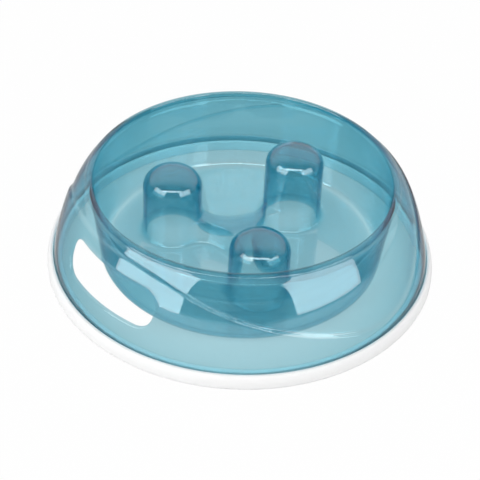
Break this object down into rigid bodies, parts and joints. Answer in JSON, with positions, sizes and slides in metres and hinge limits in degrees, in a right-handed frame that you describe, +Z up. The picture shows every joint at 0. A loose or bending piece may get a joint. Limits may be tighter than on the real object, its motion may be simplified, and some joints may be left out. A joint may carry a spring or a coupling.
{
  "type": "slow feeder bowl",
  "caption": "Round clear blue bowl with three hollow domed posts joined by a Y rib, a flared skirt with a grip opening and a white non-slip ring",
  "frame": {"origin": "middle of the ring on the table surface", "axes": "+Z up out of the bowl, +X through the tallest post, with the grip opening at -X, +Y to the left of +X seen from above"},
  "size_m": [0.24, 0.24, 0.0605],
  "materials": {
    "clear_blue": "smooth glossy see-through moulding",
    "soft_white": "soft matt"
  },
  "bodies": {
    "base_ring": {"base_ring": "soft_white"},
    "bowl": {"bowl": "clear_blue"}
  },
  "joints": [
    {"name": "bowl_lift", "type": "slide", "parent": "base_ring", "child": "bowl", "axis": [0, 0, 1], "range_m": [0, 0.03]}
  ]
}
